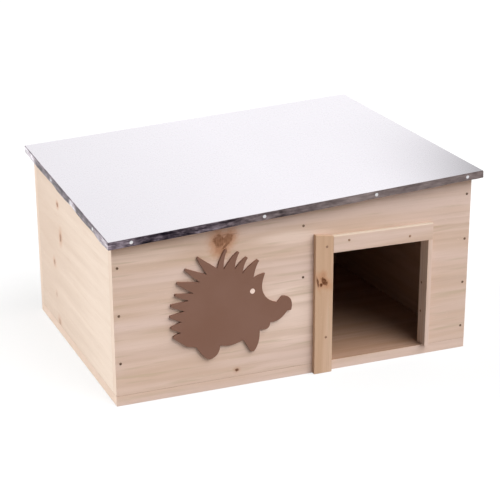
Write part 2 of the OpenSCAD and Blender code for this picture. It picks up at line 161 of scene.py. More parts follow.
class Graph:
    """Builds the nodes of a material or of the world."""

    def __init__(self, tree):
        self.nodes = tree.nodes
        self.links = tree.links

    def add(self, kind, **settings):
        node = self.nodes.new(kind)
        for key, value in settings.items():
            setattr(node, key, value)
        return node

    def put(self, value, socket):
        """Links a value or socket to an input, or sets the input to a number or colour."""
        if isinstance(value, Value):
            self.links.new(value.socket, socket)
        elif isinstance(value, bpy.types.NodeSocket):
            self.links.new(value, socket)
        elif isinstance(value, tuple):
            socket.default_value = (*value, 1)
        else:
            socket.default_value = value

    def math(self, kind, *values):
        node = self.add("ShaderNodeMath", operation=kind)
        for value, socket in zip(values, node.inputs):
            self.put(value, socket)
        return Value(self, node.outputs[0])

    def split(self, vector):
        node = self.add("ShaderNodeSeparateXYZ")
        self.links.new(vector, node.inputs[0])
        return [Value(self, s) for s in node.outputs]

    def place(self):
        """The point on the piece, in millimetres, in the part frame at rest."""
        coords = self.add("ShaderNodeTexCoord")
        return [v * (1 / MM) for v in self.split(coords.outputs["Object"])]

    def normal(self):
        coords = self.add("ShaderNodeTexCoord")
        return self.split(coords.outputs["Normal"])

    def join(self, x, y, z):
        node = self.add("ShaderNodeCombineXYZ")
        for value, socket in zip((x, y, z), node.inputs):
            self.put(value, socket)
        return node.outputs[0]

    def noise(self, x, y, z, seed=0.0, detail=2.0, rough=0.5):
        node = self.add("ShaderNodeTexNoise", noise_dimensions="4D")
        self.links.new(self.join(x, y, z), node.inputs["Vector"])
        node.inputs["W"].default_value = seed
        node.inputs["Scale"].default_value = 1
        node.inputs["Detail"].default_value = detail
        node.inputs["Roughness"].default_value = rough
        return Value(self, node.outputs[0])

    def attribute(self, name):
        node = self.add("ShaderNodeAttribute", attribute_name=name)
        return Value(self, node.outputs["Fac"])

    def chance(self, value):
        """A random number for each whole value."""
        node = self.add("ShaderNodeTexWhiteNoise", noise_dimensions="1D")
        self.put(value, node.inputs["W"])
        return Value(self, node.outputs["Value"])

    def ease(self, value, low, high, to_low=0.0, to_high=1.0):
        """A smooth step from to_low at low to to_high at high."""
        node = self.add("ShaderNodeMapRange", interpolation_type="SMOOTHSTEP")
        for number, socket in zip((value, low, high, to_low, to_high), node.inputs):
            self.put(number, socket)
        return Value(self, node.outputs[0])

    def mix(self, amount, first, second, kind="MIX"):
        node = self.add("ShaderNodeMix", data_type="RGBA", blend_type=kind)
        self.put(amount, node.inputs[MIX_AMOUNT])
        self.put(first, node.inputs[MIX_FIRST])
        self.put(second, node.inputs[MIX_SECOND])
        return node.outputs[MIX_RESULT]

    def ray(self, *kinds):
        """1 for rays of these kinds and 0 for others."""
        path = self.add("ShaderNodeLightPath")
        found = [Value(self, path.outputs["Is " + kind + " Ray"]) for kind in kinds]
        value = found[0]
        for other in found[1:]:
            value = self.math("MAXIMUM", value, other)
        return value


class Look(Graph):
    """Builds one procedural material."""

    def __init__(self, name, **settings):
        self.material = bpy.data.materials.new(name)
        self.material.use_nodes = True
        super().__init__(self.material.node_tree)
        self.shader = self.nodes["Principled BSDF"]
        for key, value in settings.items():
            self.shader.inputs[key.replace("_", " ")].default_value = value

    def set(self, name, value):
        self.put(value, self.shader.inputs[name])

    def bump(self, height, distance):
        """Relief from a varying height. distance is what a height of 1 stands for, in millimetres."""
        node = self.add("ShaderNodeBump")
        node.inputs["Strength"].default_value = 1.0
        node.inputs["Distance"].default_value = distance * MM
        self.put(height, node.inputs["Height"])
        self.set("Normal", node.outputs[0])


class Pattern(NamedTuple):
    """Noise in wood: its size along and across the grain, in millimetres, and its offset from the seed."""

    along: float
    across: float
    offset: int
    detail: float = 2.0
    rough: float = 0.5


# Wood: patterns
DRIFT = Pattern(330, 90, 0)
RIPPLE = Pattern(75, 18, 3)
FIBRE = Pattern(46, 1.0, 5, 3.0, 0.6)
PORE = Pattern(9, 0.35, 7, 1.0)
CLOUD = Pattern(210, 16, 9, 3.0)
FLECK = Pattern(5, 1.1, 11, 1.0)
WANDER = Pattern(3.2, 3.2, 13, 3.0, 0.6)
PATCH = Pattern(150, 24, 15)
SWIRL = Pattern(1.7, 4.2, 17)
SWIRL_DEPTH = 6
STREAK = Pattern(80, 4.5, 19)

# Wood: values between which a pattern or a direction comes into effect, and what it rises from and to
PATCH_STEP = (0.36, 0.62, 0.25, 1.0)
RING_RISE = (0.1, 0.8)
RING_FALL = (1.0, 0.82)
CLOUD_STEP = (-0.16, 0.16)
BAND_STEP = (1.2, 0.5)
FIBRE_STEP = (0.52, 0.78)
PORE_STEP = (0.62, 0.8)
STREAK_STEP = (0.55, 0.72)
FLECK_STEP = (0.66, 0.78)
SWIRL_STEP = (0.32, 0.62, 0.7, 1.0)
KNOT_GLOW_STEP = (3.0, 0.6)
KNOT_CORE_STEP = (1.25, 0.65)
FACE_STEP = (0.8, 0.97)
TOP_STEP = (0.45, 0.66)

# Wood: how strong each effect is
DRIFT_REACH = 14
RIPPLE_REACH = 2.4
PALEST_YEAR = 0.2
FIBRE_SHARE = 0.38
PORE_SHARE = 0.14
FLECK_GAIN = 1.14
KNOT_WANDER = 1.3
KNOT_BEND_FADE = -0.16
KNOT_BEND_SHARE = 0.5
KNOT_GLOW_SHARE = 0.8
WOOD_SPECULAR = 0.08
WOOD_ROUGH = 0.5
FIBRE_ROUGH = 0.16
END_ROUGH = 0.12
FIBRE_RELIEF = 0.5
PORE_RELIEF = 0.3
RING_RELIEF = 0.6
WOOD_RELIEF = 0.06

# Wood: colours
KNOT_GLOW = (0.53, 0.245, 0.125)
KNOT_CORE = (0.105, 0.03, 0.01)
END_GRAIN = (0.62, 0.43, 0.29)
PALE_END = (0.75, 0.615, 0.51)
# Painted shade: faces that look into the closed house are multiplied by this
INNER_SHADE = (0.58, 0.48, 0.4)
STAIN = (0.56, 0.42, 0.285)
# Painted highlight: the cream that upper faces turn to, for the light from above
TOP_HIGHLIGHT = (0.66, 0.56, 0.455)
# Paler patches: paler wood, and just under the roof painted light that lifts the roof's shade
PALE_PATCH = (0.89, 0.7, 0.6)
PALE = (0.765, 0.582, 0.5)
WARM = (0.69, 0.5, 0.39)
LATE = (0.545, 0.37, 0.265)
SIDE_PALE = (0.772, 0.645, 0.542)
SIDE_WARM = (0.67, 0.535, 0.437)
POST_PALE = (0.7, 0.485, 0.35)
POST_WARM = (0.62, 0.405, 0.27)
POST_LATE = (0.45, 0.265, 0.16)
POST_END = (0.6, 0.44, 0.33)


def knot_marks(look, along, across, knots, wander):
    """How far the rings bend, how warm the wood is and how dark it is round a board's knots.

    A knot is (along, across, half length, half width, lean in degrees, darkness, warmth). It leans from
    the grain's direction.
    """
    bend = None
    glow = None
    core = None
    for u, v, long, wide, lean, darkness, warmth in knots:
        du = along - u
        dv = across - v
        c = math.cos(math.radians(lean))
        s = math.sin(math.radians(lean))
        a = (du * c + dv * s) / long
        b = (dv * c - du * s) / wide
        reach = look.math("SQRT", a * a + b * b) + wander * KNOT_WANDER
        push = dv * look.math("EXPONENT", reach * reach * KNOT_BEND_FADE) * min(1.0, 2 * darkness)
        warm = look.ease(reach, *KNOT_GLOW_STEP) * warmth
        dark = look.ease(reach, *KNOT_CORE_STEP) * darkness
        bend = push if bend is None else bend + push
        glow = warm if glow is None else look.math("MAXIMUM", glow, warm)
        core = dark if core is None else look.math("MAXIMUM", core, dark)
    return bend, glow, core


def wood(
    name, axes, pale, warm, late, pith, ring=6.0, knots=(), seed=0.0, grain=0.42, stains=0.3, flecks=0.3,
    end=0.3, end_tone=END_GRAIN, top=0.0, shaded_inside=(), tilt=0.0, bands=(), figure=1.0,
):
    """Planed pine with growth rings round a pith line, fibres, knots and end grain.

    axes names the axis along the grain, the one across the face and the one through the board. pith is the
    place of the rings' centre across and through the board. grain, stains and flecks say how strong the
    rings, the yellowish streaks and the pale flecks are. end says how far the ends turn to end_tone, and
    top how far the upper face turns to cream, a painted highlight for the light from above. shaded_inside
    lists
    the faces that look into the house, as (axis, sign): they are darker, painted shade of the closed house.
    tilt makes the board warmer along the grain, and figure says how strong its broad streaks are. bands
    lists
    paler patches, as (along, across, half length, half width, strength): paler wood, and where they lie
    just under the roof also painted light that lifts the roof's shade.
    """
    look = Look(name, Specular_IOR_Level=WOOD_SPECULAR)
    point = dict(zip("xyz", look.place()))
    facing = dict(zip("xyz", look.normal()))
    along, across, deep = (point[a] for a in axes)

    def drawn(pattern, depth=None):
        """A pattern drawn out along the grain, from 0 to 1."""
        x = along / pattern.along
        y = across / pattern.across
        z = deep / (depth or pattern.across)
        return look.noise(x, y, z, seed + pattern.offset, pattern.detail, pattern.rough)

    bent = across
    if knots:
        u = along / WANDER.along
        v = across / WANDER.across
        wander = look.noise(u, v, 0.0, seed + WANDER.offset, WANDER.detail, WANDER.rough) - 0.5
        bend, glow, core = knot_marks(look, along, across, knots, wander)
        bent = across - bend * KNOT_BEND_SHARE
    drift = drawn(DRIFT) - 0.5
    ripple = drawn(RIPPLE) - 0.5
    centre = look.math("SQRT", (bent - pith[0]) ** 2 + (deep - pith[1]) ** 2)
    turn = (centre + drift * DRIFT_REACH + ripple * RIPPLE_REACH) / ring
    part = look.math("FRACT", turn)
    year = look.chance(look.math("FLOOR", turn) + seed)
    patch = look.ease(drawn(PATCH), *PATCH_STEP)
    darkness = PALEST_YEAR + (1 - PALEST_YEAR) * year
    dark_wood = look.ease(part, *RING_RISE) * look.ease(part, *RING_FALL) * darkness * patch

    fibre = drawn(FIBRE)
    pore = drawn(PORE)
    cloud = drawn(CLOUD) - 0.5

    colour = look.mix(look.ease(cloud * figure + along * tilt, *CLOUD_STEP), pale, warm)
    # Paler patches: paler wood, and near the wall top painted light against the roof's shade
    for u, v, long, wide, strength in bands:
        reach = look.math("SQRT", ((along - u) / long) ** 2 + ((across - v) / wide) ** 2)
        colour = look.mix(look.ease(reach + cloud, *BAND_STEP) * strength, colour, PALE_PATCH)
    colour = look.mix(dark_wood * grain, colour, late)
    lines = look.ease(fibre, *FIBRE_STEP) * FIBRE_SHARE + look.ease(pore, *PORE_STEP) * PORE_SHARE
    colour = look.mix(lines, colour, late)
    colour = look.mix(look.ease(drawn(STREAK), *STREAK_STEP) * stains, colour, STAIN)
    fleck_tone = tuple(min(1.0, c * FLECK_GAIN) for c in pale)
    colour = look.mix(look.ease(drawn(FLECK), *FLECK_STEP) * flecks, colour, fleck_tone)
    if knots:
        colour = look.mix(glow * KNOT_GLOW_SHARE, colour, KNOT_GLOW)
        swirl = look.ease(drawn(SWIRL, SWIRL_DEPTH), *SWIRL_STEP)
        colour = look.mix(core * swirl, colour, KNOT_CORE)
    cut = look.ease(look.math("ABSOLUTE", facing[axes[0]]), *FACE_STEP)
    colour = look.mix(cut * end, colour, end_tone)
    # Painted highlight: upper faces turn cream, for the light from above
    if top:
        colour = look.mix(look.ease(facing["z"], *TOP_STEP) * top, colour, TOP_HIGHLIGHT)
    # Painted shade: faces that look into the house turn darker
    for axis, sign in shaded_inside:
        colour = look.mix(look.ease(facing[axis] * sign, *FACE_STEP), colour, INNER_SHADE, "MULTIPLY")
    look.set("Base Color", colour)
    look.set("Roughness", WOOD_ROUGH + FIBRE_ROUGH * fibre + cut * END_ROUGH)
    look.bump(fibre * FIBRE_RELIEF + pore * PORE_RELIEF - dark_wood * RING_RELIEF, WOOD_RELIEF)
    return look.material


front_knots = (
    (-100.8, 178.0, 8.0, 6.4, 104, 0.68, 1.0),
    (-89.6, 179.6, 7.0, 5.2, 60, 0.6, 1.0),
    (-91.5, 173.0, 8.0, 1.5, 42, 0.66, 0.7),
    (-92.0, 166.4, 3.6, 1.1, 100, 0.6, 0.4),
    (-98.6, 169.0, 6.4, 5.4, 0, 0.18, 1.0),
    (-95.0, 177.0, 6.0, 4.6, 0, 0.12, 1.0),
    (-91.0, 184.4, 13.0, 0.9, 0, 0.34, 0.0),
    (-80.3, 20.0, 2.3, 1.9, 0, 0.9, 0.45),
)
# Pale patches as (along, across, half length, half width, strength): the two at 172, just under the roof,
# are painted light that lifts the roof's shade; the others are paler wood
front_bands = (
    (-14.0, 80.0, 88.0, 38.0, 0.85),
    (-10.0, 172.0, 60.0, 10.0, 0.75),
    (-190.0, 172.0, 60.0, 12.0, 0.45),
    (-190.0, 74.0, 60.0, 12.0, 0.45),
)
left_knots = (
    (56.7, 175.7, 3.2, 2.8, 0, 0.6, 0.7),
    (48.9, 135.5, 4.0, 6.0, 10, 0.54, 0.55),
    (85.6, 93.0, 4.0, 3.6, 0, 0.46, 0.45),
    (82.7, 50.8, 2.8, 2.8, 0, 0.22, 0.25),
    (73.5, 15.8, 4.6, 4.2, 0, 0.34, 0.4),
)
right_knots = (
    (-60.0, 150.0, 5.0, 4.2, 20, 0.6, 0.6),
    (70.0, 90.0, 6.0, 5.0, -15, 0.6, 0.6),
    (20.0, 190.0, 3.4, 3.0, 0, 0.5, 0.5),
)
back_knots = (
    (-120.0, 90.0, 6.0, 5.2, 10, 0.65, 0.65),
    (60.0, 170.0, 4.4, 3.8, -20, 0.6, 0.6),
    (150.0, 60.0, 3.6, 3.2, 0, 0.5, 0.5),
)
post_knots = (
    (114.8, 27.4, 6.2, 2.9, -38, 0.95, 0.9),
    (111.0, 23.4, 2.4, 2.0, 0, 0.95, 0.8),
    (114.5, 19.2, 6.8, 1.3, -12, 0.92, 0.5),
    (121.0, 26.0, 4.0, 2.6, 0, 0.1, 0.7),
)

front_pine = wood(
    "front_pine", "xzy", PALE, WARM, LATE, (70, -95), knots=front_knots, seed=1.7, stains=0.55,
    end=0.8, end_tone=PALE_END, shaded_inside=[("y", 1)], bands=front_bands,
)
left_pine = wood(
    "left_pine", "yzx", SIDE_PALE, SIDE_WARM, LATE, (130, -150), knots=left_knots, seed=4.1, grain=0.14,
    stains=0.1, flecks=0.7, shaded_inside=[("x", 1)], tilt=0.0011, figure=0.5,
)
right_pine = wood(
    "right_pine", "yzx", PALE, WARM, LATE, (90, 140), knots=right_knots, seed=8.3, shaded_inside=[("x", -1)],
)
back_pine = wood(
    "back_pine", "xzy", PALE, WARM, LATE, (150, 100), knots=back_knots, seed=12.9,
    end=0.8, end_tone=PALE_END, shaded_inside=[("y", -1)],
)
floor_pine = wood(
    "floor_pine", "xyz", PALE, WARM, LATE, (-60, 70), seed=17.3,
    end=0.6, end_tone=PALE_END, shaded_inside=[("z", 1)],
)
partition_pine = wood(
    "partition_pine", "yzx", PALE, WARM, LATE, (60, -60), seed=21.1, shaded_inside=[("x", 1), ("x", -1)],
)
post_pine = wood(
    "post_pine", "zxy", POST_PALE, POST_WARM, POST_LATE, (10, -140), ring=4.5, knots=post_knots, seed=25.7,
    end=0.6, end_tone=POST_END, tilt=0.0016,
)
# top=0.8 paints a highlight on the lintel's upper faces
lintel_pine = wood(
    "lintel_pine", "xzy", PALE, WARM, LATE, (190, -140), ring=5.0, seed=29.9, grain=0.4, top=0.8,
)
jamb_pine = wood("jamb_pine", "zyx", PALE, POST_PALE, POST_LATE, (-130, 150), ring=4.5, seed=33.1)
roof_pine = wood(
    "roof_pine", "xyz", POST_PALE, WARM, LATE, (40, 150), ring=7.0, seed=37.7, shaded_inside=[("z", -1)],
)

# Zinc: colours, and sizes of its patterns in millimetres
ZINC_DARK = (0.006, 0.005, 0.01)
ZINC_LIGHT = (0.975, 0.945, 1.0)
LIP_VIOLET = (0.98, 0.78, 0.9)
LIP_BROWN = (1.0, 0.78, 0.68)
SPANGLE_SIZE = 7
HAZE_SIZE = 120
MOTTLE_SIZE = (11, 16, 5)
SMEAR_SIZE = (22, 2.4)
BRUSH_SIZE = (70, 1.1, 3)

# Zinc: how strong each effect is
LIP_STEP = (0.0, 0.2)
MOTTLE_SHINE = 1.15
SMEAR_SHINE = 0.8
SPANGLE_SHINE = 0.008
HAZE_SHINE = 0.03
BRUSH_SHINE = 0.003
LEAST_SHINE = 0.05
SHINE_POWER = 2.2
ZINC_ROUGH = 0.2
SPANGLE_ROUGH = 0.06
HAZE_ROUGH = 0.1
LIP_ROUGH = 0.12
HAZE_RELIEF = 0.5
ZINC_RELIEF = 0.15


def zinc(name):
    """Zinc sheet: satin, faintly spangled, with mottled lips.

    The sheet's painted_light attribute says how bright it looks: painted reflection, darker on the lips and
    towards the left and the right front corner of the top, and painted shade in the folds. mottling says
    how mottled the folded lips are (0 on the top), partly the sheet's own stains and partly painted
    reflection, and warmth how brown their dark parts are.
    """
    look = Look(name, Metallic=1.0)
    x, y, z = look.place()
    painted_light = look.attribute("painted_light")
    mottling = look.attribute("mottling")
    warmth = look.attribute("warmth")
    lip = look.ease(mottling, *LIP_STEP)
    cells = look.add("ShaderNodeTexVoronoi")
    cells.inputs["Scale"].default_value = 1
    cell_place = look.join(x / SPANGLE_SIZE, y / SPANGLE_SIZE, z / SPANGLE_SIZE)
    look.links.new(cell_place, cells.inputs["Vector"])
    spangle = look.split(cells.outputs["Color"])[0]
    haze = look.noise(x / HAZE_SIZE, y / HAZE_SIZE, z / HAZE_SIZE, 2.0, 3.0)
    mottle_place = (v / size for v, size in zip((x, y, z), MOTTLE_SIZE))
    mottle = look.noise(*mottle_place, 5.0, 4.0, 0.65) - 0.5
    over_slope = z - SLOPE_X * x - SLOPE_Y * y
    smear = look.noise((x + y) / SMEAR_SIZE[0], 0.0, over_slope / SMEAR_SIZE[1], 6.0, 3.0, 0.6) - 0.5
    brush_place = (v / size for v, size in zip((x, y, z), BRUSH_SIZE))
    brush = look.noise(*brush_place, 8.0, 2.0) - 0.5
    # The lips' mottling: partly stains, partly painted reflection
    stain_and_sheen = mottling * (mottle * MOTTLE_SHINE + smear * SMEAR_SHINE)
    faint = (spangle - 0.5) * SPANGLE_SHINE + (haze - 0.5) * HAZE_SHINE + brush * BRUSH_SHINE
    bright = look.math("MAXIMUM", painted_light + stain_and_sheen + faint, LEAST_SHINE) ** SHINE_POWER
    colour = look.mix(bright, ZINC_DARK, ZINC_LIGHT)
    tint = look.mix(warmth, LIP_VIOLET, LIP_BROWN)
    look.set("Base Color", look.mix(lip * (1 - bright), colour, tint, "MULTIPLY"))
    look.set("Roughness", ZINC_ROUGH + SPANGLE_ROUGH * spangle + HAZE_ROUGH * haze + LIP_ROUGH * lip)
    look.bump(haze * HAZE_RELIEF + mottling * mottle, ZINC_RELIEF)
    return look.material


# Steel and paint: sizes of their patterns in millimetres, and how strong each effect is
COATING_STEP = (0.35, 0.65)
COATING_GRAIN = 0.4
COATING_ROUGH = 0.2
COATING_RELIEF = 0.02
PAINT_CLOUD = 45
PAINT_CLOUD_STEP = (0.3, 0.7)
PAINT_SPECK = 2.2
PAINT_SPECK_STEP = (0.62, 0.8)
PAINT_SPECK_SHARE = 0.14
PAINT_GRIT = 0.9
PAINT_ROUGH = 0.62
GRIT_ROUGH = 0.16
PAINT_RELIEF = 0.05


def steel(name, pale, dark, rough, scale):
    """Fastener steel with a mottled, slightly worn coating, in patches of the scale in millimetres."""
    look = Look(name, Metallic=1.0)
    place = look.place()
    patch = look.noise(*(v / scale for v in place), 1.0, 4.0, 0.6)
    fine = look.noise(*(v / COATING_GRAIN for v in place), 3.0, 2.0)
    look.set("Base Color", look.mix(look.ease(patch, *COATING_STEP), pale, dark))
    look.set("Roughness", rough + COATING_ROUGH * patch)
    look.bump(fine + patch, COATING_RELIEF)
    return look.material


def paint(name, light, deep):
    """Matt paint on board, with a faint roller texture."""
    look = Look(name, Specular_IOR_Level=0.3)
    place = look.place()
    cloud = look.noise(*(v / PAINT_CLOUD for v in place), 4.0, 3.0)
    grit = look.noise(*(v / PAINT_GRIT for v in place), 6.0, 2.0)
    speck = look.noise(*(v / PAINT_SPECK for v in place), 9.0, 1.0)
    colour = look.mix(look.ease(cloud, *PAINT_CLOUD_STEP), light, deep)
    colour = look.mix(look.ease(speck, *PAINT_SPECK_STEP) * PAINT_SPECK_SHARE, colour, deep)
    look.set("Base Color", colour)
    look.set("Roughness", PAINT_ROUGH + GRIT_ROUGH * grit)
    look.bump(grit, PAINT_RELIEF)
    return look.material


roof_zinc = zinc("roof_zinc")
bright_nail = steel("bright_nail", (0.84, 0.84, 0.86), (0.6, 0.59, 0.61), 0.22, 2.0)
# Wall and trim nails: dark brown, partly the heads' own colour and partly painted shade of sunk heads
wall_nail = steel("wall_nail", (0.26, 0.17, 0.12), (0.13, 0.08, 0.055), 0.5, 1.5)
trim_nail = steel("trim_nail", (0.46, 0.29, 0.2), (0.3, 0.18, 0.12), 0.5, 1.5)
hinge_zinc = steel("hinge_zinc", (0.66, 0.66, 0.69), (0.5, 0.5, 0.53), 0.28, 5.0)
plaque_paint = paint("plaque_paint", (0.232, 0.122, 0.087), (0.216, 0.109, 0.075))
eye_paint = paint("eye_paint", (0.95, 0.74, 0.64), (0.92, 0.7, 0.6))

# Shapes: eased edges, and the angle from which an edge looks sharp
WALL_EDGE = 0.5
BATTEN_EDGE = 0.7
LINTEL_EDGE = 0.4
PLAQUE_EDGE = 0.35
EDGE_STEPS = 2
EDGE_ROUND = 0.6
SHARP = math.radians(55)


def ease_edges(bm, edges, size):
    bmesh.ops.bevel(
        bm, geom=edges, offset=size * MM, segments=EDGE_STEPS, profile=EDGE_ROUND, affect="EDGES",
        clamp_overlap=True,
    )


def even_normals(piece):
    piece.modifiers.new("even_normals", "WEIGHTED_NORMAL").keep_sharp = True


def make_piece(name, bm, body, slot, material, *stands_for):
    """Turns a built mesh into a piece of the part, in place of its solid."""
    for face in bm.faces:
        face.smooth = True
    mesh = bpy.data.meshes.new(name)
    bm.to_mesh(mesh)
    bm.free()
    mesh.set_sharp_from_angle(angle=SHARP)
    mesh.materials.append(material)
    piece = bpy.data.objects.new(name, mesh)
    bpy.context.scene.collection.objects.link(piece)
    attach(piece, body)
    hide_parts(*stands_for)
    return piece


def board(name, near, far, edge, body, slot, material, stands_for):
    """A board between two matching outlines, with eased edges."""
    bm = bmesh.new()
    first = [bm.verts.new(Vector(p) * MM) for p in near]
    second = [bm.verts.new(Vector(p) * MM) for p in far]
    bm.faces.new(first)
    bm.faces.new(second)
    for i in range(len(first)):
        j = (i + 1) % len(first)
        bm.faces.new((first[i], first[j], second[j], second[i]))
    bmesh.ops.recalc_face_normals(bm, faces=bm.faces)
    ease_edges(bm, bm.edges[:], edge)
    even_normals(make_piece(name, bm, body, slot, material, stands_for))


def span(node):
    """A solid's corners, in millimetres."""
    low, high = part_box(node)
    return low / MM, high / MM


def height(rule, x, y):
    """A height that is either a number or a rule over the footprint."""
    return rule(x, y) if callable(rule) else rule


def across_wall(name, outline, material, node):
    """A wall board that lies along X, from its outline of (x, height)."""
    low, high = span(node)
    near = [(x, low.y, height(rule, x, low.y)) for x, rule in outline]
    far = [(x, high.y, height(rule, x, high.y)) for x, rule in outline]
    board(name, near, far, WALL_EDGE, "house", "pine", material, node)


def along_wall(name, outline, material, node):
    """A wall board that lies along Y, from its outline of (y, height)."""
    low, high = span(node)
    near = [(low.x, y, height(rule, low.x, y)) for y, rule in outline]
    far = [(high.x, y, height(rule, high.x, y)) for y, rule in outline]
    board(name, near, far, WALL_EDGE, "house", "pine", material, node)


def block(name, node, edge, slot, material, slope=0.0):
    """A plain batten or board, as large as its solid, with its top sloping down to the right."""
    low, high = span(node)
    drop = (high.x - low.x) * math.tan(slope)
    corners = [(low.x, low.z), (high.x, low.z), (high.x, high.z - drop), (low.x, high.z)]
    near = [(x, low.y, z) for x, z in corners]
    far = [(x, high.y, z) for x, z in corners]
    board(name, near, far, edge, "house", slot, material, node)


# Front wall, with the entrance up to the lintel
front_low, front_high = span("front_panel")
lintel_low, lintel_high = span("door_lintel")
front_outline = [
    (front_low.x, FLOOR_T), (lintel_low.x, FLOOR_T), (lintel_low.x, lintel_low.z),
    (lintel_high.x, lintel_low.z), (lintel_high.x, FLOOR_T), (front_high.x, FLOOR_T),
    (front_high.x, wall_top), (front_low.x, wall_top),
]
across_wall("front_wood", front_outline, front_pine, "front_panel")


# Back wall, with a mortise for each hinge
def mortise_floor(x, y):
    return wall_top(x, y) - LEAF_T - MORTISE_GAP + LID_GAP


back_outline = [(front_low.x, FLOOR_T), (front_high.x, FLOOR_T), (front_high.x, wall_top)]
for leaf in ("right_hinge_roof_leaf", "left_hinge_roof_leaf"):
    leaf_low, leaf_high = span(leaf)
    right = leaf_high.x + MORTISE_GAP
    left = leaf_low.x - MORTISE_GAP
    back_outline += [(right, wall_top), (right, mortise_floor), (left, mortise_floor), (left, wall_top)]
back_outline.append((front_low.x, wall_top))
across_wall("back_wood", back_outline, back_pine, "back_panel")

for side, material in (("left", left_pine), ("right", right_pine)):
    low, high = span(side + "_side")
    outline = [(low.y, FLOOR_T), (high.y, FLOOR_T), (high.y, wall_top), (low.y, wall_top)]
    along_wall(side + "_wood", outline, material, side + "_side")

# Partition, with the passage at its back end
low, high = span("partition_wall")
passage_y = high.y - PASSAGE_W
partition_outline = [
    (low.y, FLOOR_T), (passage_y, FLOOR_T), (passage_y, PASSAGE_TOP), (high.y, PASSAGE_TOP),
    (high.y, wall_top), (low.y, wall_top),
]
along_wall("partition_wood", partition_outline, partition_pine, "partition_wall")

block("floor_wood", "floor_board", WALL_EDGE, "pine", floor_pine)
block("post_wood", "door_post", BATTEN_EDGE, "batten_pine", post_pine, POST_SLOPE)
block("jamb_wood", "door_jamb", BATTEN_EDGE, "batten_pine", jamb_pine)

# Lintel, with its upper front edge planed off
lintel_profile = [
    (lintel_low.y, lintel_low.z), (lintel_high.y, lintel_low.z), (lintel_high.y, lintel_high.z),
    (lintel_low.y + LINTEL_EASE, lintel_high.z), (lintel_low.y, lintel_high.z - LINTEL_EASE),
]
lintel_near = [(lintel_low.x, y, z) for y, z in lintel_profile]
lintel_far = [(lintel_high.x, y, z) for y, z in lintel_profile]
board(
    "lintel_wood", lintel_near, lintel_far, LINTEL_EDGE, "house", "batten_pine", lintel_pine, "door_lintel",
)

# Roof board, a little inside the sheet so that the dented lip never cuts it
roof_place = roof_matrix()
ROOM_BEHIND_LIP = 1.0
half_w = ROOF_W / 2 - SHEET_T - ROOM_BEHIND_LIP
half_d = ROOF_D / 2 - SHEET_T - ROOM_BEHIND_LIP
roof_corners = [(-half_w, -half_d), (half_w, -half_d), (half_w, half_d), (-half_w, half_d)]
roof_near = [(roof_place @ Vector((u, v, 0))) / MM for u, v in roof_corners]
roof_far = [(roof_place @ Vector((u, v, ROOF_BOARD_T))) / MM for u, v in roof_corners]
board("roof_wood_panel", roof_near, roof_far, WALL_EDGE, "lid", "roof_wood", roof_pine, "roof_board")

# Roof sheet: a top with four folded lips, dented between the nails
BEND = 1.0
EAR = 0.15
TOP_STEPS = (48, 40)
FOLD_STEPS = 4
LIP_STEPS = 6
LIP_DROP = LIP_H - BEND
LIP_CURL = 1.4
LIP_STANDS = (0.3, 1.2)
BACK_LIP_STANDS = (0.2, 0.5)
STANDS_SEED = 3
DIMPLE_REACH = 5
DIMPLE_DEPTH = 0.35

# Waves in the lips' lower edges and in the top: their heights, and their lengths for each radian
LIP_RAGGED = 0.45
LONG_RAG = 13.7
SHORT_RAG = 5.9
RAG_SHIFT = 1.0
TOP_WAVE = 0.2
TOP_WAVE_U = 61
TOP_WAVE_V = 47
TOP_WAVE_SHIFT = 1.3
TOP_FLAT_RIM = 40

# How bright the top looks, and how far that falls to the left and in the right front corner: painted
# reflection
TOP_SHINE = 0.985
LEFT_FALL = 0.045
CORNER_FALL = 0.33
CORNER_START = 0.35

# How bright each lip looks along its length, as (share, upper half, lower half), painted reflection, and in
# its crease, painted shade
FRONT_TONES = (
    (0.0, 0.46, 0.5), (0.05, 0.5, 0.48), (0.09, 0.19, 0.2), (0.2, 0.3, 0.24), (0.24, 0.35, 0.41),
    (0.3, 0.33, 0.32), (0.39, 0.47, 0.5), (0.44, 0.37, 0.33), (0.55, 0.43, 0.44), (0.64, 0.53, 0.51),
    (0.72, 0.43, 0.48), (1.0, 0.49, 0.46),
)
LEFT_TONES = (
    (0.0, 0.76, 0.78), (0.08, 0.74, 0.7), (0.16, 0.42, 0.5), (0.33, 0.34, 0.36), (0.36, 0.8, 0.92),
    (0.4, 0.84, 0.96), (0.43, 0.38, 0.52), (0.61, 0.34, 0.38), (0.64, 0.62, 0.66), (0.67, 0.38, 0.42),
    (0.82, 0.4, 0.46), (0.89, 0.86, 0.9), (1.0, 0.84, 0.8),
)
PLAIN_TONES = (
    (0.0, 0.5, 0.54), (0.2, 0.36, 0.42), (0.4, 0.5, 0.58), (0.6, 0.38, 0.44), (0.8, 0.5, 0.54),
    (1.0, 0.4, 0.5),
)
# Painted shade: how dark each lip's crease is
FRONT_CREASE_SHADE = 0.45
LEFT_CREASE_SHADE = 0.42
PLAIN_CREASE_SHADE = 0.4

# How mottled and how brown each lip is along its length, as (share, mottling, warmth); the mottling is
# partly stains and partly painted reflection
FRONT_WEAR_AND_SHEEN = ((0.0, 1.0, 0.1), (0.22, 1.0, 0.2), (0.4, 0.6, 0.8), (0.65, 0.35, 1.0), (1.0, 0.35, 1.0))
SIDE_WEAR_AND_SHEEN = ((0.0, 1.0, 0.2), (1.0, 1.0, 0.2))
BACK_WEAR_AND_SHEEN = ((0.0, 0.7, 0.5), (1.0, 0.7, 0.5))


def tone_at(tones, share):
    """The values listed for a lip, at a share of its length, with smooth steps between listed places."""
    for (s0, *low), (s1, *high) in zip(tones, tones[1:]):
        if share <= s1:
            t = max(0.0, min(1.0, (share - s0) / (s1 - s0)))
            t = t * t * (3 - 2 * t)
            return [a + (b - a) * t for a, b in zip(low, high)]
    return tones[-1][1:]


